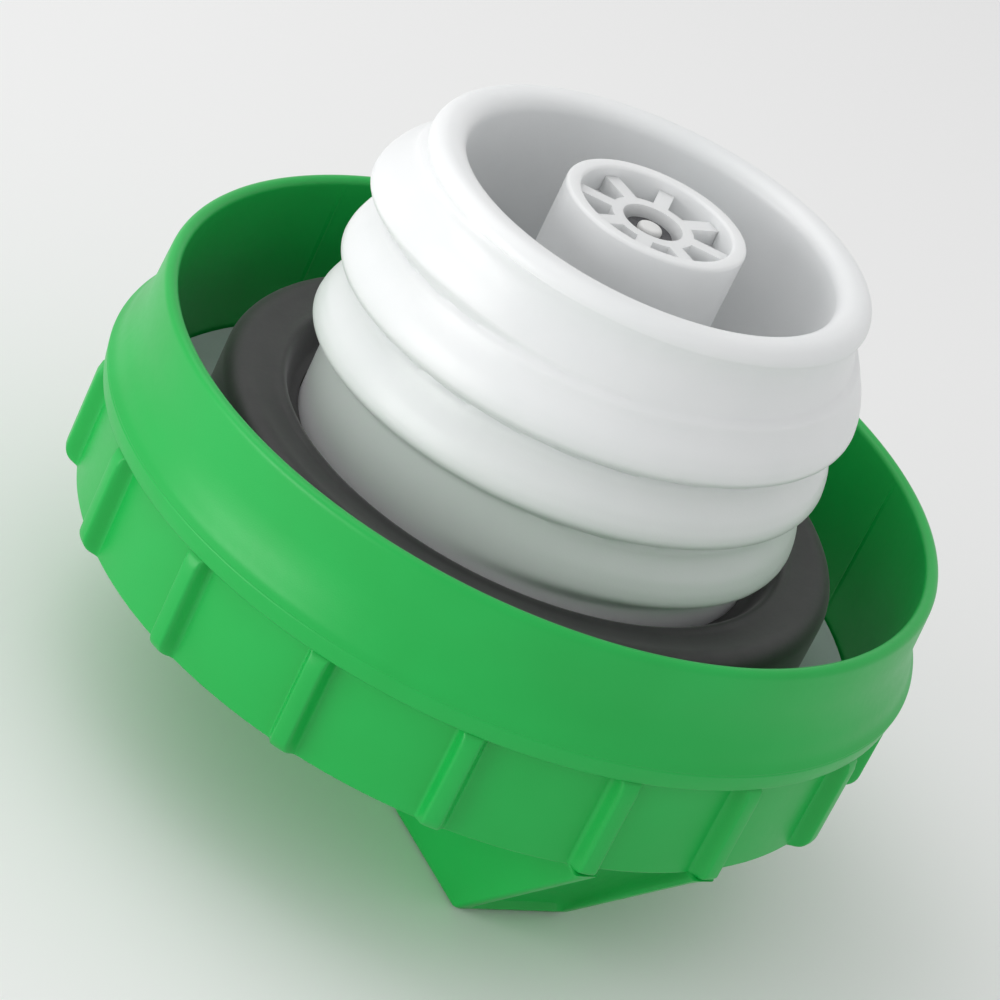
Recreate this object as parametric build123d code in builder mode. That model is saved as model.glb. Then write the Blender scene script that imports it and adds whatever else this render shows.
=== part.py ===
"""Screw-in lid of a large insulated water jug, standing upside down on its grip bar.

Millimetres. +Z runs along the screw axis towards the jug, +X along the grip bar, and the
origin is under the axis on the flat of the bar, which the upturned lid stands on.
"""
import os
from math import cos, radians, sin

from build123d import *

os.makedirs("parts", exist_ok=True)

# ---------------------------------------------------------------- driving dimensions
# outer cap
bar_height = 21.6          # grip bar, from its flat to the closed end of the cap
bar_width = 17.0
bar_flat_length = 69.0     # flat of the bar, between its two sloped ends
bar_root_length = 106.2    # bar where it meets the closed end
bar_wall = 2.2
bar_edge_round = 0.6
bar_root_round = 1.2
scoop_depth = 3.7          # hollow of each sloped end, measured along the bar at its root
scoop_lip = 1.3            # rim left under each scoop, at the flat
band_height = 14.3         # ribbed band
band_r = 52.2
band_edge = 0.4
step_height = 2.3          # small step between the band and the crest
step_r = 54.0
crest_r = 54.3             # widest ring of the cap
skirt_height = 13.4        # crest to the lip
waist_r = 51.8             # hollowed ring under the lip
lip_roll_r = 0.9           # rounded lip
lip_r = 50.8               # middle of the lip
closed_end_wall = 2.4
cap_bore_r = 49.8

# ribs of the band
rib_count = 17
rib_width = 3.3
rib_r = 54.4
rib_round = 1.3
rib_end_round = 2.2
bar_rib_angle = 9.5        # from the middle of the bar to the rib beside it

# layers under the stopper
foam_thickness = 3.5
liner_thickness = 1.5
vent_bore_r = 8.0
layer_clearance = 0.3
stack_clearance = 0.1

# gasket
gasket_r = 40.8
gasket_height = 15.1
gasket_shoulder_r = 2.3
gasket_bead_r = 33.8
gasket_bead_section = 0.6
gasket_dish = 0.3
gasket_neck_height = 11.6    # where the gasket hugs the neck, above the liner
gasket_groove_depth = 0.4
gasket_groove_count = 2
gasket_groove_pitch = 3.6
gasket_clearance = 0.1

# stopper
neck_r = 30.2
neck_height = 42.5           # neck below the narrower end, above the liner
flange_r = 33.4
flange_thickness = 2.2
stopper_height = 52.0
stopper_lip_r = 2.0
floor_thickness = 3.4
mouth_r = 24.3
cup_floor_r = 23.6
lip_outer_r = 29.0
waist_drop = 4.6             # narrowest ring below the mouth
waist_inset = 0.25
thread_pitch = 9.13
thread_turns = 3.05
thread_r = 33.3
thread_root_bite = 2.0       # thread sunk into the neck
thread_start_angle = -59.0
thread_start_height = 15.8   # first crest above the liner
thread_fade = 85.0           # degrees over which each end of the thread rises from the neck
thread_sections_per_turn = 24

# relief valve in the middle of the stopper
tube_r = 11.8
tube_bore_r = 9.9
tube_drop = 0.2              # tube's end below the mouth
cage_drop = 1.4              # spokes below the tube's end
spoke_height = 2.0
spoke_width = 2.0
spoke_count = 8
spoke_angle = 6.0
hub_r = 5.4
hub_bore_r = 3.9
hub_length = 12.4
hub_shelf = 1.4
cage_ring_height = 3.0
cage_ring_wall = 0.9
cage_clearance = 0.05
seat_plate = 2.5
seat_hole_r = 6.0
seat_drop = 21.0             # seat plate below the tube's end
stem_r = 1.6
stem_clearance = 0.06
stem_tip = 0.7               # stem above the clip
spring_wire = 0.8
spring_r = 2.65
spring_length = 9.3
spring_turns = 5
clip_thickness = 0.5
clip_clearance = 0.02
poppet_r = 8.0
poppet_thickness = 2.4
seal_thickness = 1.2
seal_r = 7.6
seal_bore_r = 4.0
valve_gap = 0.05             # between the resting seal and its seat

# fixing screws, their sealing washers, and the stopper's ring seal
screw_circle_r = 18.0
screw_angles = (90, 225, 315)
screw_r = 1.45
screw_clearance = 0.25
screw_bite_clearance = 0.05
screw_length = 9.8
screw_head_r = 2.75
screw_head_height = 2.2
screw_slot_width = 0.8
screw_slot_depth = 1.0
screw_seal_thickness = 0.8
screw_seal_r = 3.2
boss_wall = 2.2
boss_skin = 1.0              # closed end left under each blind boss
ring_seal_r = 27.0
ring_seal_section = 1.8
ring_seal_clearance = 0.05

# ---------------------------------------------------------------- levels, from the flat up
face_z = bar_height
cap_floor_z = face_z + closed_end_wall
step_z = face_z + band_height
crest_z = step_z + step_height
cap_top_z = crest_z + skirt_height
liner_z = cap_floor_z + foam_thickness + stack_clearance
stopper_z = liner_z + liner_thickness
flange_top_z = stopper_z + flange_thickness
cup_floor_z = stopper_z + floor_thickness
neck_top_z = stopper_z + neck_height
mouth_z = stopper_z + stopper_height
tube_top_z = mouth_z - tube_drop
spoke_z = tube_top_z - cage_drop
spoke_foot_z = spoke_z - spoke_height
cage_ledge_z = spoke_foot_z - cage_ring_height
shelf_z = spoke_z - hub_length + hub_shelf
spring_top_z = shelf_z + spring_length
clip_top_z = spring_top_z + clip_thickness
seat_z = tube_top_z - seat_drop
seal_z = seat_z - seat_plate - valve_gap - seal_thickness
poppet_z = seal_z - poppet_thickness
screw_seal_top_z = cup_floor_z + screw_seal_thickness
gasket_top_z = stopper_z + gasket_height

# ---------------------------------------------------------------- widths that follow the fits
layer_r = cap_bore_r - layer_clearance
boss_r = screw_r + boss_wall
lower_bore_r = tube_bore_r - cage_ring_wall
screw_places = [(screw_circle_r * cos(radians(a)), screw_circle_r * sin(radians(a))) for a in screw_angles]
bar_slope = (bar_root_length - bar_flat_length) / 2 / bar_height
scoop_half_width = bar_width / 2 - bar_wall


def bar_end(z):
    """Half length of the bar at a height."""
    return bar_flat_length / 2 + bar_slope * z


# ---------------------------------------------------------------- outer cap
rib_step = (360 - 2 * bar_rib_angle) / (rib_count - 1)
rib_angles = [bar_rib_angle + number * rib_step for number in range(rib_count)]

with BuildPart() as outer_cap:
    # shell: closed end, band, step, crest, hollowed skirt and rounded lip
    with BuildSketch(Plane.XZ):
        with BuildLine():
            lip_mid_z = cap_top_z - lip_roll_r
            Polyline(
                (0, cap_floor_z),
                (0, face_z),
                (band_r - band_edge, face_z),
                (band_r, face_z + band_edge),
                (band_r, step_z),
                (step_r, step_z),
                (crest_r, crest_z),
            )
            Spline(
                (crest_r, crest_z),
                (waist_r + 0.35 * (crest_r - waist_r), crest_z + 0.32 * skirt_height),
                (waist_r, crest_z + 0.62 * skirt_height),
                (lip_r + lip_roll_r, lip_mid_z),
                tangents=((-0.25, 1), (0, 1)),
            )
            ThreePointArc(
                (lip_r + lip_roll_r, lip_mid_z),
                (lip_r, cap_top_z),
                (lip_r - lip_roll_r, lip_mid_z),
            )
            Polyline(
                (lip_r - lip_roll_r, lip_mid_z),
                (cap_bore_r, cap_floor_z),
                (0, cap_floor_z),
            )
        make_face()
    revolve(axis=Axis.Z)

    # ribs of the band, rounded off at the closed end
    with BuildSketch(Plane.XY.offset(face_z)):
        for angle in rib_angles:
            with PolarLocations(rib_r - rib_width / 2, 1, angle):
                RectangleRounded(rib_width, rib_width, rib_round)
    extrude(amount=band_height)
    with BuildSketch(Plane.XZ):
        with BuildLine():
            Polyline(
                (rib_r, face_z + rib_end_round),
                (rib_r + rib_width, face_z + rib_end_round),
                (rib_r + rib_width, face_z - rib_end_round),
                (rib_r - rib_end_round, face_z - rib_end_round),
                (rib_r - rib_end_round, face_z),
            )
            RadiusArc((rib_r, face_z + rib_end_round), (rib_r - rib_end_round, face_z), rib_end_round)
        make_face()
    revolve(axis=Axis.Z, mode=Mode.SUBTRACT)

    # grip bar across the closed end
    with BuildSketch(Plane.XZ):
        Polygon(
            (-bar_end(face_z), face_z),
            (-bar_end(0), 0),
            (bar_end(0), 0),
            (bar_end(face_z), face_z),
            align=None,
        )
    extrude(amount=bar_width / 2, both=True)

    # scoop in each sloped end, and the hollow inside the bar, open into the cap
    scoop_root = bar_end(face_z) - scoop_depth
    scoop_foot_z = scoop_lip
    scoop_waist_z = 0.32 * face_z
    scoop_waist = bar_end(scoop_waist_z) - 0.75 * scoop_depth
    for side in (-1, 1):
        with BuildSketch(Plane.XZ):
            with BuildLine():
                Spline(
                    (side * scoop_root, face_z),
                    (side * scoop_waist, scoop_waist_z),
                    (side * bar_end(scoop_foot_z), scoop_foot_z),
                )
                Polyline(
                    (side * bar_end(scoop_foot_z), scoop_foot_z),
                    (side * (bar_end(face_z) + scoop_depth), scoop_foot_z),
                    (side * (bar_end(face_z) + scoop_depth), face_z),
                    (side * scoop_root, face_z),
                )
            make_face()
        extrude(amount=scoop_half_width, both=True, mode=Mode.SUBTRACT)
    hollow_root = scoop_root - 2 * bar_wall
    hollow_waist = scoop_waist - 2 * bar_wall
    hollow_foot = min(hollow_waist, bar_end(bar_wall) - 3 * bar_wall)
    with BuildSketch(Plane.XZ):
        Polygon(
            (hollow_root, cap_floor_z),
            (hollow_root, face_z),
            (hollow_waist, scoop_waist_z + bar_wall),
            (hollow_foot, bar_wall),
            (-hollow_foot, bar_wall),
            (-hollow_waist, scoop_waist_z + bar_wall),
            (-hollow_root, face_z),
            (-hollow_root, cap_floor_z),
            align=None,
        )
    extrude(amount=scoop_half_width, both=True, mode=Mode.SUBTRACT)

    # blind bosses for the three fixing screws
    with BuildSketch(Plane.XY.offset(face_z + boss_skin)):
        with Locations(*screw_places):
            Circle(boss_r)
    extrude(amount=closed_end_wall - boss_skin + foam_thickness)
    with BuildSketch(Plane.XY.offset(face_z + boss_skin)):
        with Locations(*screw_places):
            Circle(screw_r + screw_bite_clearance)
    extrude(amount=closed_end_wall - boss_skin + foam_thickness, mode=Mode.SUBTRACT)

outer_cap.part.label = "outer_cap"
export_step(outer_cap.part, "parts/outer_cap.step")


# ---------------------------------------------------------------- insulation foam
with BuildPart() as insulation_foam:
    with BuildSketch(Plane.XY.offset(cap_floor_z)):
        Circle(layer_r)
        Circle(vent_bore_r, mode=Mode.SUBTRACT)
        with Locations(*screw_places):
            Circle(boss_r + layer_clearance, mode=Mode.SUBTRACT)
    extrude(amount=foam_thickness)

insulation_foam.part.label = "insulation_foam"
export_step(insulation_foam.part, "parts/insulation_foam.step")


# ---------------------------------------------------------------- cap liner
with BuildPart() as cap_liner:
    with BuildSketch(Plane.XY.offset(liner_z)):
        Circle(layer_r)
        Circle(vent_bore_r, mode=Mode.SUBTRACT)
        with Locations(*screw_places):
            Circle(screw_r + screw_clearance, mode=Mode.SUBTRACT)
    extrude(amount=liner_thickness)

cap_liner.part.label = "cap_liner"
export_step(cap_liner.part, "parts/cap_liner.step")


# ---------------------------------------------------------------- gasket
with BuildPart() as gasket:
    # thick ring that hooks over the stopper's flange and seals on the jug's rim
    flange_bore_r = flange_r + gasket_clearance
    flange_hook_z = flange_top_z + gasket_clearance
    neck_bore_r = neck_r + gasket_clearance
    bead_z = gasket_top_z - gasket_dish
    with BuildSketch(Plane.XZ):
        with BuildLine():
            Polyline(
                (flange_bore_r, stopper_z),
                (gasket_r, stopper_z),
                (gasket_r, gasket_top_z - gasket_shoulder_r),
            )
            RadiusArc(
                (gasket_r, gasket_top_z - gasket_shoulder_r),
                (gasket_r - gasket_shoulder_r, gasket_top_z),
                -gasket_shoulder_r,
            )
            Spline(
                (gasket_r - gasket_shoulder_r, gasket_top_z),
                (gasket_bead_r + 2 * gasket_bead_section, bead_z),
                (gasket_bead_r, gasket_top_z),
                (gasket_bead_r - gasket_bead_section, gasket_top_z - gasket_bead_section),
                tangents=((-1, 0), (0, -1)),
            )
            Polyline(
                (gasket_bead_r - gasket_bead_section, gasket_top_z - gasket_bead_section),
                (gasket_bead_r - 2 * gasket_bead_section, stopper_z + gasket_neck_height),
                (neck_bore_r, stopper_z + gasket_neck_height),
                (neck_bore_r, flange_hook_z),
                (flange_bore_r, flange_hook_z),
                (flange_bore_r, stopper_z),
            )
        make_face()
        # shallow grooves round the outside
        with Locations(*[
            (gasket_r, stopper_z + (number + 1) * gasket_groove_pitch)
            for number in range(gasket_groove_count)
        ]):
            Rectangle(2 * gasket_groove_depth, 2 * gasket_groove_depth, rotation=45, mode=Mode.SUBTRACT)
    revolve(axis=Axis.Z)

gasket.part.label = "gasket"
export_step(gasket.part, "parts/gasket.step")


# ---------------------------------------------------------------- stopper body
thread_depth = thread_r - neck_r
thread_root_r = neck_r - thread_root_bite
thread_sweep = 360 * thread_turns
section_count = round(thread_sections_per_turn * thread_turns)
section_step = thread_sweep / section_count

with BuildPart() as thread_ridge:
    # right-handed buttress ridge: steep towards the cap, gentle towards the mouth
    for number in range(section_count + 1):
        turned = number * section_step
        rise = min(1, max(turned, section_step / 4) / thread_fade)
        rise = min(rise, max(thread_sweep - turned, section_step / 4) / thread_fade)
        heading = radians(thread_start_angle + turned)
        across = Plane(
            origin=(0, 0, stopper_z + thread_start_height + thread_pitch * turned / 360),
            x_dir=(cos(heading), sin(heading), 0),
            z_dir=(sin(heading), -cos(heading), 0),
        )
        with BuildSketch(across):
            Polygon(
                (thread_root_r, -0.22 * thread_pitch),
                (neck_r + 0.2 * rise * thread_depth, -0.18 * thread_pitch),
                (neck_r + 0.9 * rise * thread_depth, -0.04 * thread_pitch),
                (neck_r + rise * thread_depth, 0.05 * thread_pitch),
                (neck_r + 0.78 * rise * thread_depth, 0.33 * thread_pitch * rise ** 0.5),
                (neck_r + 0.3 * rise * thread_depth, 0.62 * thread_pitch * rise ** 0.5),
                (thread_root_r, 0.74 * thread_pitch * rise ** 0.5),
                align=None,
            )
    loft(ruled=True)

with BuildPart() as stopper_body:
    # flange, neck, narrower end and rounded lip, round the cup
    with BuildSketch(Plane.XZ):
        with BuildLine():
            Polyline(
                (lower_bore_r, stopper_z),
                (flange_r, stopper_z),
                (flange_r, flange_top_z),
                (neck_r, flange_top_z),
                (neck_r, neck_top_z),
            )
            Polyline(
                (neck_r, neck_top_z),
                (lip_outer_r - waist_inset, mouth_z - waist_drop),
                (lip_outer_r, mouth_z - stopper_lip_r),
            )
            RadiusArc(
                (lip_outer_r, mouth_z - stopper_lip_r),
                (lip_outer_r - stopper_lip_r, mouth_z),
                -stopper_lip_r,
            )
            Line((lip_outer_r - stopper_lip_r, mouth_z), (mouth_r + stopper_lip_r, mouth_z))
            RadiusArc(
                (mouth_r + stopper_lip_r, mouth_z),
                (mouth_r, mouth_z - stopper_lip_r),
                -stopper_lip_r,
            )
            Polyline(
                (mouth_r, mouth_z - stopper_lip_r),
                (cup_floor_r, cup_floor_z),
                (tube_r, cup_floor_z),
                (tube_r, tube_top_z),
                (tube_bore_r, tube_top_z),
                (tube_bore_r, cage_ledge_z),
                (lower_bore_r, cage_ledge_z),
                (lower_bore_r, seat_z),
                (seat_hole_r, seat_z),
                (seat_hole_r, seat_z - seat_plate),
                (lower_bore_r, seat_z - seat_plate),
                (lower_bore_r, stopper_z),
            )
        make_face()
    revolve(axis=Axis.Z)
    add(thread_ridge.part)

    # groove for the ring seal, and the three screw holes
    with BuildSketch(Plane.XY.offset(stopper_z)):
        Circle(ring_seal_r + ring_seal_section / 2 + ring_seal_clearance)
        Circle(ring_seal_r - ring_seal_section / 2 - ring_seal_clearance, mode=Mode.SUBTRACT)
    extrude(amount=ring_seal_section + ring_seal_clearance, mode=Mode.SUBTRACT)
    with BuildSketch(Plane.XY.offset(stopper_z)):
        with Locations(*screw_places):
            Circle(screw_r + screw_clearance)
    extrude(amount=floor_thickness, mode=Mode.SUBTRACT)

stopper_body.part.label = "stopper_body"
export_step(stopper_body.part, "parts/stopper_body.step")


# ---------------------------------------------------------------- stopper ring seal
with BuildPart() as stopper_ring_seal:
    with BuildSketch(Plane.XZ):
        with Locations((ring_seal_r, stopper_z + ring_seal_section / 2 + ring_seal_clearance / 2)):
            Circle(ring_seal_section / 2)
    revolve(axis=Axis.Z)

stopper_ring_seal.part.label = "stopper_ring_seal"
export_step(stopper_ring_seal.part, "parts/stopper_ring_seal.step")


# ---------------------------------------------------------------- valve cage
with BuildPart() as valve_cage:
    # hub with the shelf that the spring stands on
    with BuildSketch(Plane.XY.offset(shelf_z - hub_shelf)):
        Circle(hub_r)
        Circle(stem_r + stem_clearance, mode=Mode.SUBTRACT)
    extrude(amount=hub_shelf)
    with BuildSketch(Plane.XY.offset(shelf_z)):
        Circle(hub_r)
        Circle(hub_bore_r, mode=Mode.SUBTRACT)
    extrude(amount=spoke_z - shelf_z)

    # ring on the tube's ledge, and the spokes that carry the hub
    cage_r = tube_bore_r - cage_clearance
    with BuildSketch(Plane.XY.offset(cage_ledge_z)):
        Circle(cage_r)
        Circle(cage_r - cage_ring_wall, mode=Mode.SUBTRACT)
    extrude(amount=cage_ring_height)
    spoke_start = (hub_r + hub_bore_r) / 2
    with BuildSketch(Plane.XY.offset(spoke_foot_z)):
        with PolarLocations(spoke_start, spoke_count, spoke_angle):
            Rectangle(tube_bore_r, spoke_width, align=(Align.MIN, Align.CENTER))
        Circle(cage_r, mode=Mode.INTERSECT)
    extrude(amount=spoke_height)

valve_cage.part.label = "valve_cage"
export_step(valve_cage.part, "parts/valve_cage.step")


# ---------------------------------------------------------------- valve spring
with BuildPart() as valve_spring:
    coil_height = spring_length - spring_wire
    with BuildLine() as coil:
        Helix(coil_height / spring_turns, coil_height, spring_r, center=(0, 0, shelf_z + spring_wire / 2))
    with BuildSketch(Plane(origin=coil.line @ 0, z_dir=coil.line % 0)):
        Circle(spring_wire / 2)
    sweep(path=coil.line, is_frenet=True)

valve_spring.part.label = "valve_spring"
export_step(valve_spring.part, "parts/valve_spring.step")


# ---------------------------------------------------------------- spring clip
with BuildPart() as spring_clip:
    # push-on washer at the stem's end, as wide as the spring that it holds down
    with BuildSketch(Plane.XY.offset(spring_top_z)):
        Circle(spring_r + spring_wire / 2)
        Circle(stem_r + clip_clearance, mode=Mode.SUBTRACT)
    extrude(amount=clip_thickness)

spring_clip.part.label = "spring_clip"
export_step(spring_clip.part, "parts/spring_clip.step")


# ---------------------------------------------------------------- valve poppet
with BuildPart() as valve_poppet:
    # disc under the seat plate, and the stem through the shelf, the spring and the clip
    with BuildSketch(Plane.XY.offset(poppet_z)):
        Circle(poppet_r)
    extrude(amount=poppet_thickness)
    with BuildSketch(Plane.XY.offset(seal_z)):
        Circle(stem_r)
    extrude(amount=clip_top_z + stem_tip - seal_z)
    chamfer(valve_poppet.edges().group_by(Axis.Z)[-1], stem_r / 5)

valve_poppet.part.label = "valve_poppet"
export_step(valve_poppet.part, "parts/valve_poppet.step")


# ---------------------------------------------------------------- poppet seal
with BuildPart() as poppet_seal:
    with BuildSketch(Plane.XY.offset(seal_z)):
        Circle(seal_r)
        Circle(seal_bore_r, mode=Mode.SUBTRACT)
    extrude(amount=seal_thickness)

poppet_seal.part.label = "poppet_seal"
export_step(poppet_seal.part, "parts/poppet_seal.step")


# ---------------------------------------------------------------- fixing screws and their seals
for number, place in enumerate(screw_places, start=1):
    with BuildPart() as screw_seal:
        with BuildSketch(Plane.XY.offset(cup_floor_z)):
            with Locations(place):
                Circle(screw_seal_r)
                Circle(screw_r + screw_clearance, mode=Mode.SUBTRACT)
        extrude(amount=screw_seal_thickness)
    screw_seal.part.label = f"screw_seal_{number}"
    export_step(screw_seal.part, f"parts/screw_seal_{number}.step")

    with BuildPart() as fixing_screw:
        with BuildSketch(Plane.XY.offset(screw_seal_top_z - screw_length)):
            with Locations(place):
                Circle(screw_r)
        extrude(amount=screw_length)
        with BuildSketch(Plane.XY.offset(screw_seal_top_z)):
            with Locations(place):
                Circle(screw_head_r)
        extrude(amount=screw_head_height)
        chamfer(fixing_screw.edges().group_by(Axis.Z)[-1], screw_head_height / 4)
        with BuildSketch(Plane.XY.offset(screw_seal_top_z + screw_head_height)):
            with Locations(place):
                Rectangle(3 * screw_slot_width, screw_slot_width)
                Rectangle(screw_slot_width, 3 * screw_slot_width)
        extrude(amount=-screw_slot_depth, mode=Mode.SUBTRACT)
    fixing_screw.part.label = f"fixing_screw_{number}"
    export_step(fixing_screw.part, f"parts/fixing_screw_{number}.step")
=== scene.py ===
"""Looks of a large jug's screw-in lid, upside down on its grip bar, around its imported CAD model."""
from bisect import bisect
from math import cos, pi, radians, sin, sqrt

import bmesh
import bpy
from mathutils import Matrix, Vector


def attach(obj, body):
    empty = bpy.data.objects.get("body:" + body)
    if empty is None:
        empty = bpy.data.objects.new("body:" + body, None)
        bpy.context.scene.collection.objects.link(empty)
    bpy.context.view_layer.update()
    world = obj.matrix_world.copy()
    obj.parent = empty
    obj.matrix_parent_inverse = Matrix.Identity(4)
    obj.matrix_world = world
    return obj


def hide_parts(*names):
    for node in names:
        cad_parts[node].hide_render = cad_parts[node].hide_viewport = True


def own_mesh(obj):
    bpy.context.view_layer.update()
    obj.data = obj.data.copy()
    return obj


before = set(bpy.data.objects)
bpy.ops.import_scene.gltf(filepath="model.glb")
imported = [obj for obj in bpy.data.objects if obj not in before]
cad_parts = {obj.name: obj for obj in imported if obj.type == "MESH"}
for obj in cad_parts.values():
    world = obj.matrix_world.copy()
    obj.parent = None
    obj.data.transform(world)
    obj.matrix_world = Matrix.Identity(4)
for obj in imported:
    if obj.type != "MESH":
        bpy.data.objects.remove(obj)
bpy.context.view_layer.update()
MM = 0.001

# ---------------------------------------------------------------- outer cap
# The cap is one thick injection moulding in bright green polypropylene: a ribbed band to turn it by,
# a hollowed skirt that shrouds the jug's collar, and a grip bar across its closed end. Its skin has
# the fine satin grain of a spark-eroded mould, and two faint witness lines run up the inside wall.
FACE_Z = 21.6
CAP_FLOOR_Z = 24.0
STEP_Z = 35.9
CREST_Z = 38.2
CAP_TOP_Z = 51.6
BAND_R = 52.2
STEP_R = 54.0
CREST_R = 54.3
LIP_R = 50.8
LIP_ROLL = 0.9
BORE_R = 49.8
RIB_COUNT = 17
RIB_HEIGHT = 2.15
RIB_HALF_WIDTH = 1.45
RIB_FLANK = 1.1
RIB_END_ROUND = 2.2
RIB_TOP_INSET = 0.4
RIB_TOP_SLOPE = 0.8
BAR_RIB_ANGLE = 9.5
BAR_HALF_WIDTH = 8.5
BAR_FLAT_HALF = 34.5
BAR_ROOT_HALF = 53.1
BAR_WALL = 1.7
BAR_EDGE = 0.7
BAR_ROOT_FLARE = 2.0
SCOOP_DEPTH = 6.5
SCOOP_FOOT_Z = 1.2


def through(points, steps):
    """Smooth run of points through the given ones, with some steps between each two."""
    run = []
    ends = [points[0]] + list(points) + [points[-1]]
    for a, b, c, d in zip(ends, ends[1:], ends[2:], ends[3:]):
        for step in range(steps):
            t = step / steps
            weights = (
                -0.5 * t + t * t - 0.5 * t ** 3,
                1 - 2.5 * t * t + 1.5 * t ** 3,
                0.5 * t + 2 * t * t - 1.5 * t ** 3,
                -0.5 * t * t + 0.5 * t ** 3,
            )
            run.append(tuple(sum(w * p[i] for w, p in zip(weights, (a, b, c, d))) for i in range(len(b))))
    run.append(tuple(points[-1]))
    return run


def arc(centre, radius, start, end, steps):
    """Points on an arc in the profile plane, angles in degrees."""
    turns = [radians(start + (end - start) * step / steps) for step in range(steps + 1)]
    return [(centre[0] + radius * cos(turn), centre[1] + radius * sin(turn)) for turn in turns]


def steps_between(a, b, count):
    """Evenly spaced values from a to b, both included."""
    return [a + (b - a) * step / count for step in range(count + 1)]


def skin(name, rows, wrap_rows=False, body="lid", sharp=40):
    """Mesh object over rows of points in millimetres; each row closes on itself."""
    count = len(rows[0])
    corners = [Vector(point) * MM for row in rows for point in row]
    faces = []
    for row in range(len(rows) if wrap_rows else len(rows) - 1):
        below = row * count
        above = (row + 1) % len(rows) * count
        for column in range(count):
            beside = (column + 1) % count
            faces.append((below + column, below + beside, above + beside, above + column))
    if not wrap_rows:
        faces.append(tuple(range(count)))
        faces.append(tuple(range(len(corners) - count, len(corners))))
    mesh = bpy.data.meshes.new(name)
    mesh.from_pydata(corners, [], faces)
    shape = bmesh.new()
    shape.from_mesh(mesh)
    bmesh.ops.remove_doubles(shape, verts=shape.verts, dist=1e-6)
    bmesh.ops.recalc_face_normals(shape, faces=shape.faces)
    shape.to_mesh(mesh)
    shape.free()
    return finish_mesh(name, mesh, body, sharp)


def finish_mesh(name, mesh, body, sharp):
    """Smooth-shaded object of a mesh, riding on its body."""
    mesh.shade_smooth()
    mesh.set_sharp_from_angle(angle=radians(sharp))
    piece = bpy.data.objects.new(name, mesh)
    bpy.context.scene.collection.objects.link(piece)
    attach(piece, body)
    return piece


def around(profile, turns, push=None):
    """Rows of points: the profile of (radius, height) pairs swept round the screw axis."""
    rows = []
    for radius, height in profile:
        row = []
        for turn in turns:
            r = radius + (push(turn, radius, height) if push else 0)
            row.append((r * cos(radians(turn)), r * sin(radians(turn)), height))
        rows.append(row)
    return rows


rib_step = (360 - 2 * BAR_RIB_ANGLE) / (RIB_COUNT - 1)
rib_turns = [BAR_RIB_ANGLE + number * rib_step for number in range(RIB_COUNT)]
WITNESS_TURNS = (82.0, 190.3)
WITNESS_DEPTH = 0.16
WITNESS_HALF_TURN = 0.45
RIB_TOP_CROWN = 0.22


def rib_push(turn, radius, height):
    """How far a rib lifts the band at a place, or a witness line the inside wall."""
    if radius < BORE_R + 0.2 and CAP_FLOOR_Z + 4 < height < CAP_TOP_Z - 1.5:
        nearest = min(abs(turn - line) for line in WITNESS_TURNS)
        return -WITNESS_DEPTH * max(0, 1 - nearest / WITNESS_HALF_TURN)
    if radius < BAND_R - 1.5 or height > STEP_Z:
        return 0
    nearest = min(rib_turns, key=lambda rib: abs(turn - rib))
    aside = abs(turn - nearest) * radians(1) * BAND_R
    t = min(1, max(0, (RIB_HALF_WIDTH + RIB_FLANK / 2 - aside) / RIB_FLANK))
    lift = RIB_HEIGHT * t * t * (3 - 2 * t) - RIB_TOP_CROWN * min(1, aside / RIB_HALF_WIDTH) ** 2 * t
    beside_bar = nearest in (rib_turns[0], rib_turns[-1])
    end_round = 1.0 if beside_bar else RIB_END_ROUND
    under = max(0, 1 - (height - FACE_Z) / end_round)
    lift *= sqrt(max(0, 1 - under * under))
    # the rib's top runs out under the step, a little inside the step's edge
    ceiling = STEP_R - RIB_TOP_INSET + RIB_TOP_SLOPE * (STEP_Z - height)
    return max(0, min(BAND_R + lift, ceiling) - max(radius, BAND_R))


def cap_turns():
    """Angles round the cap, close together over each rib and each witness line."""
    turns = set()
    for rib in rib_turns:
        turns.update(round(rib + offset, 4) for offset in steps_between(-2.6, 2.6, 26))
        turns.update(round(rib + offset, 4) for offset in steps_between(2.6, rib_step - 2.6, 12)[1:-1])
    for line in WITNESS_TURNS:
        turns.update(round(line + offset, 4) for offset in steps_between(-0.9, 0.9, 8))
    turns = sorted(turn % 360 for turn in turns)
    return [turn for turn, after in zip(turns, turns[1:] + [turns[0] + 360]) if after - turn > 0.05]


lip_mid_z = CAP_TOP_Z - LIP_ROLL
skirt = through(
    [(CREST_R - 0.1, CREST_Z + 0.35), (53.55, 39.4), (53.0, 41.0), (52.45, 42.7), (52.05, 44.8),
     (51.9, 47.0), (51.8, 49.0), (LIP_R + LIP_ROLL, lip_mid_z)],
    4,
)
outer_profile = (
    [(0.5, CAP_FLOOR_Z), (BORE_R - 2, CAP_FLOOR_Z)]
    + arc((BORE_R - 1, CAP_FLOOR_Z + 1), 1.0, -90, 0, 4)
    + [(BORE_R + 0.1 * share, z) for share, z in zip(steps_between(0.1, 1, 8), steps_between(28, 49, 8))]
    + arc((LIP_R, lip_mid_z), LIP_ROLL, 180, 0, 12)
    + list(reversed(skirt))
    + arc((CREST_R - 0.3, CREST_Z), 0.3, 50, 0, 3)
    + arc((STEP_R - 0.3, STEP_Z + 0.3), 0.3, 0, -90, 3)
    + arc((BAND_R + 0.5, STEP_Z - 0.5), 0.5, 90, 180, 4)
    + [(BAND_R, z) for z in steps_between(STEP_Z - 1.5, FACE_Z + RIB_END_ROUND, 6)]
    + [(BAND_R, FACE_Z + 0.4 + (RIB_END_ROUND - 0.4) * (1 - sin(radians(a))))
       for a in (15, 30, 45, 60, 75, 90)]
    + arc((BAND_R - 0.4, FACE_Z + 0.4), 0.4, -20, -90, 3)
    + [(BAND_R - 4, FACE_Z), (30, FACE_Z), (0.5, FACE_Z)]
)
outer_cap = skin("outer_cap_shell", around(outer_profile, cap_turns(), rib_push))


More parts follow.
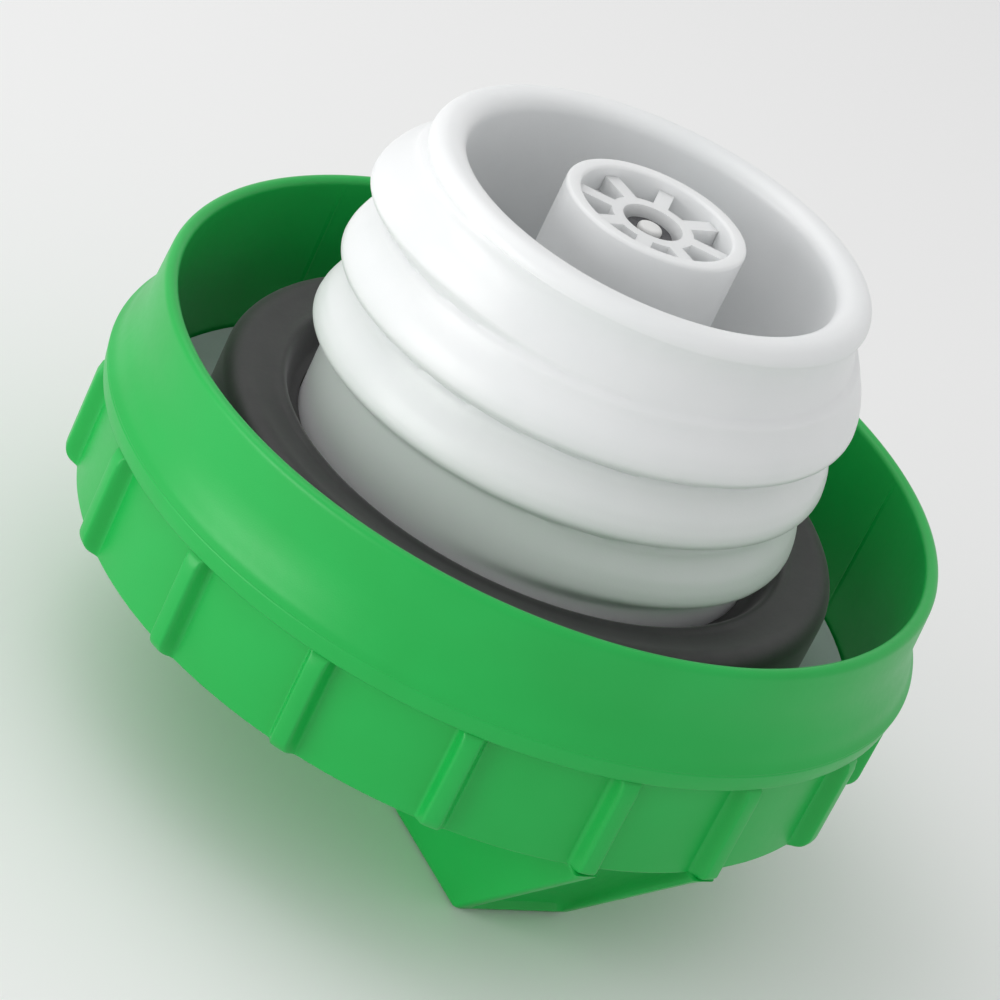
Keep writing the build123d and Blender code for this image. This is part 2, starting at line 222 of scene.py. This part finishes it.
def bar_outline(height):
    """One level of the grip bar: a long rectangle with its edges eased and a scoop in each end."""
    slope = (BAR_ROOT_HALF - BAR_FLAT_HALF) / FACE_Z
    half = BAR_FLAT_HALF + slope * min(height, FACE_Z)
    width = BAR_HALF_WIDTH
    if height < BAR_EDGE:
        inset = BAR_EDGE - sqrt(BAR_EDGE ** 2 - (BAR_EDGE - height) ** 2)
        half -= inset
        width -= inset
    below_face = FACE_Z - height
    if below_face < BAR_ROOT_FLARE:
        near = BAR_ROOT_FLARE - max(0, below_face)
        width += BAR_ROOT_FLARE - sqrt(BAR_ROOT_FLARE ** 2 - near ** 2)
    if height > FACE_Z:
        half = BAND_R - 1.2
    share = min(1, max(0, (height - SCOOP_FOOT_Z) / (FACE_Z - SCOOP_FOOT_Z)))
    scoop = SCOOP_DEPTH * (1.25 * share ** 0.55 - 0.25 * share ** 2)
    if height > FACE_Z:
        scoop = 0
    inner = BAR_HALF_WIDTH - BAR_WALL
    soft = min(3.0, inner - 0.2)
    quarter = arc((half - BAR_EDGE, width - BAR_EDGE), BAR_EDGE, 90, 0, 4)
    rim = [(half, inner + 0.35), (half - 0.05 * scoop, inner + 0.12)]
    bowl = []
    for step in range(9):
        turn = radians(90 * step / 8)
        reach = scoop * sin(turn) ** 0.8 if step else 0.12 * scoop
        bowl.append((half - reach, inner - soft * (1 - cos(turn))))
    corner = quarter + rim + bowl + [(half - scoop, 0.5 * (inner - soft))]
    run = list(corner)
    run += [(x, -y) for x, y in reversed(corner)]
    run += [(-x, -y) for x, y in corner]
    run += [(-x, y) for x, y in reversed(corner)]
    return [(x, y, height) for x, y in run]


bar_levels = (
    [BAR_EDGE * (1 - cos(radians(a))) for a in (5, 25, 45, 65, 90)]
    + steps_between(SCOOP_FOOT_Z, FACE_Z - BAR_ROOT_FLARE, 22)
    + [FACE_Z - BAR_ROOT_FLARE * (1 - sin(radians(a))) for a in (20, 40, 55, 70, 80)]
    + [FACE_Z - 0.01, FACE_Z + 0.8]
)
grip_bar = skin("grip_bar", [bar_outline(height) for height in bar_levels])


def unite(whole, added):
    """Joins one closed mesh to another for good, so no faces are left inside."""
    union = whole.modifiers.new("union", "BOOLEAN")
    union.operation = "UNION"
    union.solver = "EXACT"
    union.object = added
    bpy.context.view_layer.update()
    joined = bpy.data.meshes.new_from_object(whole.evaluated_get(bpy.context.evaluated_depsgraph_get()))
    whole.modifiers.clear()
    whole.data = joined
    bpy.data.objects.remove(added)
    joined.shade_smooth()
    joined.set_sharp_from_angle(angle=radians(40))


unite(outer_cap, grip_bar)
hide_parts("outer_cap")


class Field:
    """A number or colour that changes over a surface, with Python's own arithmetic."""

    def __init__(self, paint, socket):
        self.paint = paint
        self.socket = socket

    def _sum(self, operation, *values):
        node = self.paint.node("ShaderNodeMath", {"operation": operation}, dict(enumerate(values)))
        return Field(self.paint, node.outputs[0])

    def __add__(self, other):
        return self._sum("ADD", self, other)

    def __mul__(self, other):
        return self._sum("MULTIPLY", self, other)

    __radd__ = __add__
    __rmul__ = __mul__


class Paint:
    """One procedural material, built on the plain surface shader."""

    def __init__(self, name):
        self.material = bpy.data.materials.new(name)
        self.material.use_nodes = True
        self.tree = self.material.node_tree
        self.surface = self.tree.nodes["Principled BSDF"]
        self.place = Field(self, self.node("ShaderNodeTexCoord", {}, {}).outputs["Object"])

    def node(self, kind, settings, values):
        """Any node: its settings first, then its sockets' values or links."""
        node = self.tree.nodes.new(kind)
        for key, setting in settings.items():
            if key == "stops":
                for stop, (position, colour) in zip(node.color_ramp.elements, setting):
                    stop.position = position
                    stop.color = (*colour, 1)
            else:
                setattr(node, key, setting)
        for key, value in values.items():
            self.join(value, node.inputs[key])
        return node

    def join(self, value, socket):
        """Sets a socket to a plain value or links a field to it."""
        if isinstance(value, Field):
            self.tree.links.new(value.socket, socket)
        else:
            socket.default_value = value

    def noise(self, scale, detail=3.0, rough=0.5):
        """Even noise from 0 to 1; the scale is in patches per metre."""
        values = {"Vector": self.place, "Scale": scale, "Detail": detail, "Roughness": rough}
        return Field(self, self.node("ShaderNodeTexNoise", {}, values).outputs["Fac"])

    def ramp(self, value, *stops):
        """Colour that runs from one stop to the next as the value rises."""
        node = self.node("ShaderNodeValToRGB", {"stops": stops}, {"Fac": value})
        return Field(self, node.outputs["Color"])

    def bump(self, height, depth, strength=1.0):
        """Lifts the surface's shading by a height field, depth in metres."""
        values = {"Height": height, "Distance": depth, "Strength": strength}
        lifted = Field(self, self.node("ShaderNodeBump", {}, values).outputs["Normal"])
        self.join(lifted, self.surface.inputs["Normal"])

    def set(self, **values):
        """Sets the surface shader's sockets by name."""
        for key, value in values.items():
            self.join(value, self.surface.inputs[key.replace("_", " ")])

    def on(self, *pieces):
        """Puts the material on pieces, in place of whatever they had."""
        for piece in pieces:
            piece.data.materials.clear()
            piece.data.materials.append(self.material)


green = Paint("green_moulding")
cloud = green.noise(55, 2.0)
green.set(
    Base_Color=green.ramp(cloud, (0.3, (0.003, 0.400, 0.058)), (0.7, (0.005, 0.440, 0.070))),
    Roughness=0.36 + 0.08 * green.noise(900, 2.0),
    Specular_IOR_Level=0.45,
)
green.bump(green.noise(5200, 2.0), 0.000012)
green.on(outer_cap)

# ---------------------------------------------------------------- foam and liner
# A disc of closed-cell foam insulates the closed end, and a pale grey moulded liner covers it.
# The screws clamp both under the stopper; only the liner's outer ring shows, beside the gasket.
foam = Paint("off_white_foam")
cell_node = foam.node("ShaderNodeTexVoronoi", {}, {"Vector": foam.place, "Scale": 1400})
cells = Field(foam, cell_node.outputs["Distance"])
foam.set(Base_Color=foam.ramp(cells, (0.1, (0.62, 0.60, 0.54)), (0.6, (0.82, 0.80, 0.74))), Roughness=0.85)
foam.bump(cells, 0.0002)
foam.on(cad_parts["insulation_foam"])

liner = Paint("pale_grey_liner")
liner.set(
    Base_Color=liner.ramp(liner.noise(120), (0.3, (0.50, 0.57, 0.56)), (0.7, (0.55, 0.62, 0.61))),
    Roughness=0.42 + 0.1 * liner.noise(700),
)
liner.bump(liner.noise(3500), 0.00001)
liner.on(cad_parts["cap_liner"])

# ---------------------------------------------------------------- gasket
# A thick soft ring of charcoal silicone, compression moulded. It hooks over the stopper's flange,
# two shallow grooves let its wall give, and the jug's rim beds into its dished flat top.
GASKET_R = 40.8
GASKET_FOOT_Z = 29.1
GASKET_TOP_Z = 44.2
SHOULDER_R = 2.3
BEAD_R = 33.8
NECK_R = 30.2
GASKET_NECK_Z = 40.7
GROOVE_LEVELS = (32.7, 36.3)
GROOVE_DEPTH = 0.42
GROOVE_HALF = 0.55

gasket_profile = [(33.5, 31.4), (33.5, GASKET_FOOT_Z)]
gasket_profile += [(GASKET_R - 0.2, GASKET_FOOT_Z), (GASKET_R, GASKET_FOOT_Z + 0.2)]
for groove_z in GROOVE_LEVELS:
    gasket_profile += [(GASKET_R, groove_z - GROOVE_HALF)]
    for turn in range(-90, 91, 30):
        groove_r = GASKET_R - GROOVE_DEPTH * cos(radians(turn))
        gasket_profile += [(groove_r, groove_z + GROOVE_DEPTH * sin(radians(turn)))]
    gasket_profile += [(GASKET_R, groove_z + GROOVE_HALF)]
gasket_profile += arc((GASKET_R - SHOULDER_R, GASKET_TOP_Z - SHOULDER_R), SHOULDER_R, 0, 90, 10)
gasket_profile += through(
    [(38.0, GASKET_TOP_Z - 0.02), (36.6, GASKET_TOP_Z - 0.22), (35.0, GASKET_TOP_Z - 0.25),
     (34.3, GASKET_TOP_Z - 0.08),
     (BEAD_R, GASKET_TOP_Z), (33.3, GASKET_TOP_Z - 0.25), (32.9, GASKET_TOP_Z - 1.0), (32.5, 42.0),
     (32.0, GASKET_NECK_Z + 0.5),
     (31.4, GASKET_NECK_Z), (NECK_R + 0.15, GASKET_NECK_Z - 0.1)],
    3,
)
gasket_profile += [(NECK_R + 0.12, 31.5)]
gasket = skin("gasket_ring", around(gasket_profile, steps_between(0, 360, 240)[:-1]), wrap_rows=True)
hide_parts("gasket")

silicone = Paint("charcoal_silicone")
dust = silicone.noise(260, 4.0, 0.6)
silicone.set(
    Base_Color=silicone.ramp(dust, (0.35, (0.012, 0.011, 0.012)), (0.75, (0.022, 0.020, 0.021))),
    Roughness=0.50 + 0.10 * silicone.noise(1500),
    Sheen_Weight=0.25,
    Sheen_Roughness=0.45,
    Specular_IOR_Level=0.55,
)
silicone.bump(silicone.noise(6500, 2.0), 0.00001)
silicone.on(gasket)

# ---------------------------------------------------------------- stopper body
# The stopper is milky white polypropylene: a neck with a coarse right-handed buttress thread that
# rises out of it and fades back, a rounded lip, and a deep cup with the valve's tube in its middle.
STOPPER_Z = 29.1
CUP_FLOOR_Z = 32.5
MOUTH_Z = 81.1
MOUTH_R = 24.3
LIP_OUTER_R = 29.0
FLANGE_R = 33.4
TUBE_R = 11.8
TUBE_BORE_R = 9.9
LOWER_BORE_R = 9.0
TUBE_TOP_Z = 80.9
LEDGE_Z = 74.5
SEAT_Z = 59.9
SEAT_HOLE_R = 6.0
THREAD_PITCH = 9.13
THREAD_R = 33.3
THREAD_START = -59.0
THREAD_SWEEP = 1098.0
THREAD_FADE = 85.0
THREAD_START_Z = 44.9

ridge_shape = (
    (-0.24, 0.0), (-0.19, 0.12), (-0.12, 0.55), (-0.05, 0.9), (0.02, 1.0),
    (0.16, 0.93), (0.33, 0.74), (0.5, 0.45), (0.62, 0.27), (0.76, 0.16),
)


def ridge(share):
    """Height of the thread's ridge across one pitch, from 0 to 1."""
    if not ridge_shape[0][0] < share < ridge_shape[-1][0]:
        return 0.0
    number = bisect([place for place, _ in ridge_shape], share)
    (a, low), (b, high) = ridge_shape[number - 1], ridge_shape[number]
    t = (share - a) / (b - a)
    return low + (high - low) * t


def smooth_ridge(share):
    """The ridge's height with its corners eased."""
    return sum(ridge(share + offset) for offset in (-0.03, -0.015, 0, 0.015, 0.03)) / 5


def thread_push(turn, radius, height):
    """How far the thread lifts the neck at a place."""
    if radius < LIP_OUTER_R - 0.6 or not 42.0 < height < 79.0:
        return 0
    best = 0.0
    for lap in range(-1, 4):
        turned = turn + 360 * lap - THREAD_START
        if 0 < turned < THREAD_SWEEP:
            rise = min(1, turned / THREAD_FADE, (THREAD_SWEEP - turned) / THREAD_FADE)
            rise = rise * rise * (3 - 2 * rise)
            crest_z = THREAD_START_Z + THREAD_PITCH * turned / 360
            share = (height - crest_z) / THREAD_PITCH
            best = max(best, rise * smooth_ridge(share) * (THREAD_R - radius))
    return best


stopper_profile = (
    [(LOWER_BORE_R, STOPPER_Z), (FLANGE_R - 0.3, STOPPER_Z), (FLANGE_R, STOPPER_Z + 0.3)]
    + [(FLANGE_R, 31.1), (33.2, 31.3)]
    + [(NECK_R, 31.3), (NECK_R, 36.0), (NECK_R, 41.0)]
    + [(NECK_R, z) for z in steps_between(41.6, 71.2, 84)]
    + through(
        [(NECK_R, 71.6), (29.5, 73.6), (28.85, 75.6), (28.7, 77.2), (28.85, 78.4), (LIP_OUTER_R, 79.0)], 6,
    )
    + arc((LIP_OUTER_R - 2.1, MOUTH_Z - 2.1), 2.1, 0, 90, 10)
    + arc((MOUTH_R + 2.1, MOUTH_Z - 2.1), 2.1, 90, 180, 10)
    + [(MOUTH_R - 0.7 * share, z)
       for share, z in zip(steps_between(0.05, 1, 8), steps_between(74, CUP_FLOOR_Z + 2, 8))]
    + arc((21.6, CUP_FLOOR_Z + 2), 2.0, 0, -90, 5)
    + arc((TUBE_R + 1, CUP_FLOOR_Z + 1), 1.0, 270, 180, 4)
    + [(TUBE_R, z) for z in steps_between(40, TUBE_TOP_Z - 0.5, 4)]
    + arc((TUBE_R - 0.45, TUBE_TOP_Z - 0.45), 0.45, 0, 90, 4)
    + arc((TUBE_BORE_R + 0.45, TUBE_TOP_Z - 0.45), 0.45, 90, 180, 4)
    + [(TUBE_BORE_R, LEDGE_Z), (LOWER_BORE_R, LEDGE_Z), (LOWER_BORE_R, SEAT_Z), (SEAT_HOLE_R, SEAT_Z)]
    + [(SEAT_HOLE_R, SEAT_Z - 2.5), (LOWER_BORE_R, SEAT_Z - 2.5)]
)
stopper = skin(
    "stopper", around(stopper_profile, steps_between(0, 360, 300)[:-1], thread_push), wrap_rows=True,
)
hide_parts("stopper_body")

milky = Paint("milky_polypropylene")
milky.set(
    Base_Color=milky.ramp(milky.noise(90), (0.3, (0.80, 0.815, 0.82)), (0.7, (0.83, 0.84, 0.845))),
    Roughness=0.30 + 0.08 * milky.noise(1100),
    Subsurface_Weight=0.5,
    Subsurface_Radius=(1.0, 1.0, 1.0),
    Subsurface_Scale=0.003,
    Specular_IOR_Level=0.5,
)
milky.bump(milky.noise(3800, 2.0), 0.000008)
milky.on(stopper)

# ---------------------------------------------------------------- valve cage
# A small milky moulding pressed into the tube: a ring on the tube's ledge, eight thin spokes and
# the hub that holds the relief spring.
def eased(node, name, body, width, sharp=30):
    """A CAD node's shape with its corners rounded, standing for the node."""
    source = bmesh.new()
    source.from_mesh(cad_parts[node].data)
    bmesh.ops.remove_doubles(source, verts=source.verts, dist=1e-6)
    bmesh.ops.dissolve_limit(source, angle_limit=radians(1), verts=source.verts, edges=source.edges)
    mesh = bpy.data.meshes.new(name)
    source.to_mesh(mesh)
    source.free()
    piece = finish_mesh(name, mesh, body, sharp)
    edge = piece.modifiers.new("edge", "BEVEL")
    edge.width = width * MM
    edge.segments = 3
    edge.limit_method = "ANGLE"
    edge.angle_limit = radians(40)
    edge.harden_normals = True
    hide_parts(node)
    return piece


cage = eased("valve_cage", "spoked_cage", "lid", 0.3)
milky.on(cage)

# ---------------------------------------------------------------- relief spring
# Drawn stainless wire, coiled round the poppet's stem between the hub's shelf and a thin dark clip
# of spring steel, which is pushed on over the stem's end and holds the spring down.
SHELF_Z = 68.5
SPRING_LENGTH = 9.3
SPRING_R = 2.65
WIRE_R = 0.4
COILS = 5


def spring_rows():
    """Rings of points round the wire, all the way up the coil."""
    rows = []
    count = COILS * 36
    rise = SPRING_LENGTH - 2 * WIRE_R
    for number in range(count + 1):
        turn = 2 * pi * COILS * number / count
        z = SHELF_Z + WIRE_R + rise * number / count
        row = []
        for step in range(12):
            a = 2 * pi * step / 12
            r = SPRING_R + WIRE_R * cos(a)
            row.append((r * cos(turn), r * sin(turn), z + WIRE_R * sin(a)))
        rows.append(row)
    return rows


spring = skin("relief_spring", spring_rows(), sharp=60)
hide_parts("valve_spring")
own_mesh(spring)

steel = Paint("drawn_steel")
steel.set(
    Base_Color=steel.ramp(steel.noise(2500), (0.3, (0.36, 0.36, 0.37)), (0.7, (0.52, 0.52, 0.53))),
    Metallic=1.0,
    Roughness=0.28 + 0.12 * steel.noise(4000),
)
steel.on(spring)

dark_steel = Paint("dark_clip_steel")
dark_steel.set(
    Base_Color=dark_steel.ramp(dark_steel.noise(2500), (0.3, (0.07, 0.07, 0.075)), (0.7, (0.13, 0.13, 0.14))),
    Metallic=1.0,
    Roughness=0.32 + 0.12 * dark_steel.noise(4000),
)
clip = eased("spring_clip", "push_on_clip", "poppet", 0.1)
dark_steel.on(clip)

# ---------------------------------------------------------------- poppet and seals
# The white acetal poppet hangs in the hub by the clip on its stem. Its disc presses a black rubber seal up
# against the tube's seat; another black ring seals the stopper's foot on the liner.
poppet = eased("valve_poppet", "poppet_and_stem", "poppet", 0.25)
acetal = Paint("white_acetal")
acetal.set(
    Base_Color=acetal.ramp(acetal.noise(300), (0.3, (0.72, 0.72, 0.71)), (0.7, (0.80, 0.80, 0.79))),
    Roughness=0.38 + 0.1 * acetal.noise(900),
)
acetal.on(poppet)

rubber = Paint("black_rubber")
rubber.set(
    Base_Color=rubber.ramp(rubber.noise(600), (0.3, (0.014, 0.014, 0.014)), (0.7, (0.024, 0.024, 0.024))),
    Roughness=0.6 + 0.1 * rubber.noise(1500),
)
rubber.bump(rubber.noise(4200), 0.00001)
poppet_seal = eased("poppet_seal", "seat_seal", "poppet", 0.2)
rubber.on(poppet_seal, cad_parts["stopper_ring_seal"])

# ---------------------------------------------------------------- fixing screws
# Three stainless cross-head screws, each on a black sealing washer in the bottom of the cup,
# hold the stopper, liner and foam down on the cap's blind bosses.
screw_steel = Paint("stainless_screw")
screw_steel.set(
    Base_Color=screw_steel.ramp(screw_steel.noise(900), (0.3, (0.52, 0.52, 0.53)), (0.7, (0.64, 0.64, 0.65))),
    Metallic=1.0,
    Roughness=0.24 + 0.12 * screw_steel.noise(2600),
)
for number in (1, 2, 3):
    screw = eased(f"fixing_screw_{number}", f"cross_head_screw_{number}", "lid", 0.12)
    screw_steel.on(screw)
    washer = eased(f"screw_seal_{number}", f"sealing_washer_{number}", "lid", 0.15)
    rubber.on(washer)

# ---------------------------------------------------------------- floor, light and camera
# A plain white floor, one large soft light from the left, a weaker one from above, and a bright
# even room. The camera looks down on the upturned lid and is rolled, so the lid leans to the right.
floor_mesh = bpy.data.meshes.new("floor")
FLOOR_HALF = 6.0
FLOOR_GAP = 0.0002
floor_mesh.from_pydata(
    [(x * FLOOR_HALF, y * FLOOR_HALF, 0) for x, y in ((-1, -1), (1, -1), (1, 1), (-1, 1))],
    [], [(0, 1, 2, 3)],
)
floor_piece = bpy.data.objects.new("floor", floor_mesh)
floor_piece.location.z = -FLOOR_GAP
bpy.context.scene.collection.objects.link(floor_piece)
floor_paint = Paint("white_floor")
floor_paint.set(Base_Color=(0.9, 0.9, 0.9, 1), Roughness=0.9, Specular_IOR_Level=0.1)
floor_paint.on(floor_piece)

TILT = 27.7167
LEAN = -63.7430
BAR_TURN = 129.0
CREST_CENTRE = Vector((2.1146, -0.3760, 540.0))
FOCAL_SHARE = 4.3405
VIEW_Z = 38.0
AIM_Z = 0.04

tilt = radians(TILT)
lean = radians(LEAN)
axis = Vector((cos(tilt) * cos(lean), cos(tilt) * sin(lean), -sin(tilt)))
side = Vector((axis.y, -axis.x, 0)).normalized()
ahead = axis.cross(side)
bar_turn = radians(BAR_TURN)
bar_x = side * cos(bar_turn) + ahead * sin(bar_turn)
bar_y = -side * sin(bar_turn) + ahead * cos(bar_turn)
# rows take a direction seen by the camera (right, down, forward) into the lid's own frame
into_lid = Matrix((bar_x, bar_y, axis))
eye = Vector((0, 0, VIEW_Z)) - into_lid @ CREST_CENTRE
right = into_lid @ Vector((1, 0, 0))
up = into_lid @ Vector((0, -1, 0))
back = into_lid @ Vector((0, 0, -1))


def aimed(towards_right, towards_up, towards_back):
    """World matrix of something seen by the camera at an offset, in metres, turned to face the lid."""
    spot = right * towards_right + up * towards_up + back * towards_back
    target = Vector((0, 0, AIM_Z))
    place = target + spot
    turn = (target - place).to_track_quat("-Z", "Y").to_matrix().to_4x4()
    turn.translation = place
    return turn


def soft_light(name, matrix, size, power, tint=(1, 1, 1)):
    """A square area light."""
    lamp = bpy.data.lights.new(name, "AREA")
    lamp.size = size
    lamp.energy = power
    lamp.color = tint
    holder = bpy.data.objects.new(name, lamp)
    holder.matrix_world = matrix
    bpy.context.scene.collection.objects.link(holder)


soft_light("left_softbox", aimed(-0.55, 0.10, 0.35), 0.45, 2.4)
soft_light("top_softbox", aimed(-0.10, 0.60, 0.15), 0.5, 0.9)

world = bpy.data.worlds.new("room")
world.use_nodes = True
world.node_tree.nodes["Background"].inputs["Color"].default_value = (1, 1, 1, 1)
world.node_tree.nodes["Background"].inputs["Strength"].default_value = 0.72
bpy.context.scene.world = world
bpy.context.scene.view_settings.view_transform = "Standard"

lens = bpy.data.cameras.new("camera")
lens.sensor_width = 36.0
lens.lens = FOCAL_SHARE * lens.sensor_width
lens.clip_start = 0.01
camera = bpy.data.objects.new("camera", lens)
pose = Matrix((right, up, back)).transposed().to_4x4()
pose.translation = eye * MM
camera.matrix_world = pose
bpy.context.scene.collection.objects.link(camera)
bpy.context.scene.camera = camera
